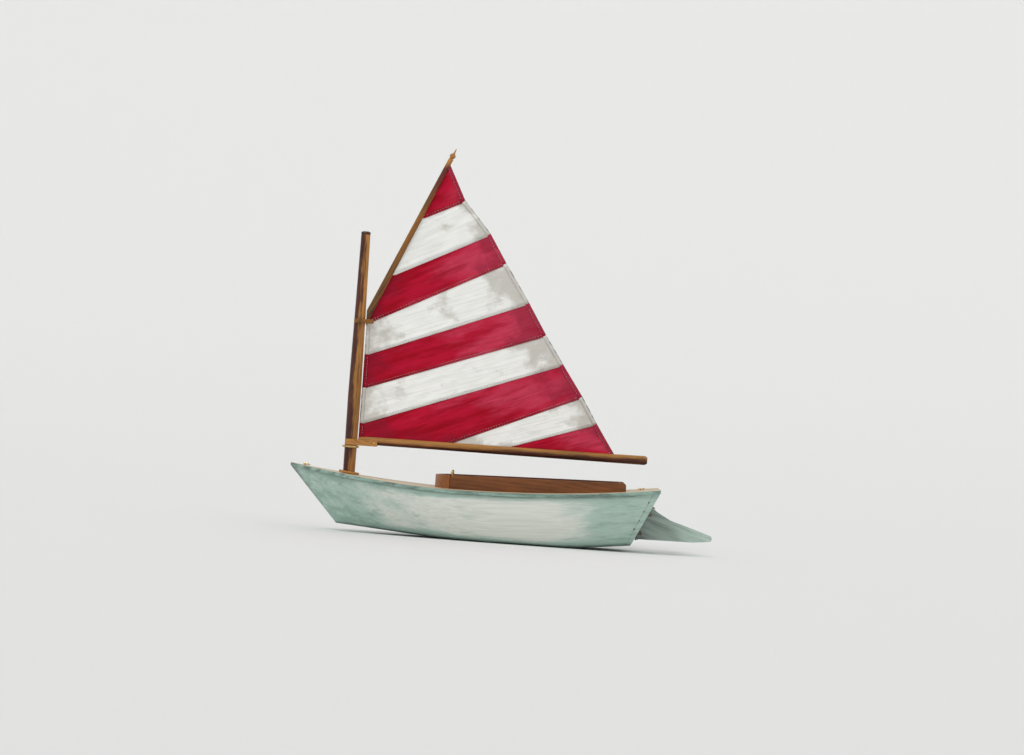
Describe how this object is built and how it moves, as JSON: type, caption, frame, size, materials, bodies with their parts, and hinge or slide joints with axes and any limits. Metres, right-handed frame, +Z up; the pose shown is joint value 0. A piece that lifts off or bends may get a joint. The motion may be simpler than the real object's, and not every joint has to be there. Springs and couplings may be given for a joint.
{
  "type": "toy sailing boat",
  "caption": "Gaff-rigged wooden toy sailing boat with a striped sail, open cockpit, swinging rig, raked rudder and a lifting centreboard.",
  "frame": {"origin": "middle of the overall length and beam, on the surface that the flat bottom rests on", "axes": "+X aft, bow towards -X; +Y to starboard; +Z up along the mast"},
  "size_m": [0.3454, 0.1236, 0.3161],
  "materials": {
    "hull_paint": "brushed pale sea-green paint on wood",
    "rail_paint": "dark grey-green paint on wood",
    "rudder_paint": "grey-green brushed paint on wood",
    "deck_wood": "varnished pale planks",
    "coaming_wood": "chestnut-brown varnished wood",
    "mast_wood": "dark stained wood with a pale side",
    "spar_wood": "golden-brown varnished wood",
    "pale_wood": "pale varnished wood",
    "inner_wood": "plain sealed wood",
    "red_cloth": "matt crimson cotton cloth",
    "white_cloth": "matt off-white cotton cloth",
    "brass": "satin, slightly tarnished",
    "iron": "rough cast bar"
  },
  "bodies": {
    "hull": {"hull_shell": "hull_paint", "transom_board": "hull_paint", "deck": "deck_wood", "rail_port": "rail_paint", "rail_starboard": "rail_paint", "coaming_fore": "coaming_wood", "coaming_port": "coaming_wood", "coaming_starboard": "coaming_wood", "coaming_aft": "coaming_wood", "coaming_pin_port": "brass", "coaming_pin_starboard": "brass", "beam_mast": "inner_wood", "beam_fore": "inner_wood", "beam_aft": "inner_wood", "carlin_port": "inner_wood", "carlin_starboard": "inner_wood", "floor_timber_fore": "inner_wood", "floor_timber_aft": "inner_wood", "ballast_port": "iron", "ballast_starboard": "iron", "floorboard_port": "inner_wood", "floorboard_starboard": "inner_wood", "thwart": "inner_wood", "trunk_side_port": "inner_wood", "trunk_side_starboard": "inner_wood", "trunk_post_fore": "inner_wood", "trunk_post_aft": "inner_wood", "trunk_cap": "inner_wood", "board_pin": "brass", "mast": "mast_wood", "mast_cap": "coaming_wood", "mast_step": "coaming_wood", "mast_partner": "coaming_wood", "jaw_saddle": "brass", "bow_eye": "brass", "sheet_eye": "brass", "masthead_eye": "brass", "halyard_cleat": "brass", "gudgeon_lower": "brass", "gudgeon_upper": "brass", "rudder_rod": "brass"},
    "rig": {"boom": "spar_wood", "boom_jaw_port": "pale_wood", "boom_jaw_starboard": "pale_wood", "gaff": "spar_wood", "gaff_jaw_port": "spar_wood", "gaff_jaw_starboard": "spar_wood", "gaff_knob": "pale_wood", "sail_panel_1": "red_cloth", "sail_panel_2": "white_cloth", "sail_panel_3": "red_cloth", "sail_panel_4": "white_cloth", "sail_panel_5": "red_cloth", "sail_panel_6": "white_cloth", "sail_panel_7": "red_cloth", "sail_panel_8": "white_cloth", "sail_panel_9": "red_cloth"},
    "rudder": {"rudder_blade": "rudder_paint"},
    "board": {"centerboard": "inner_wood"}
  },
  "joints": [
    {"name": "boom_swing", "type": "hinge", "parent": "hull", "child": "rig", "pos_m": [-0.12525, 0, 0.0745], "axis": [0, 0, 1], "range_deg": [-80, 80]},
    {"name": "rudder_turn", "type": "hinge", "parent": "hull", "child": "rudder", "pos_m": [0.11687, 0, 0.02251], "axis": [0.4268, 0, 0.9044], "range_deg": [-35, 35]},
    {"name": "board_drop", "type": "hinge", "parent": "hull", "child": "board", "pos_m": [-0.01775, 0, 0.009], "axis": [0, 1, 0], "range_deg": [0, 50]}
  ]
}
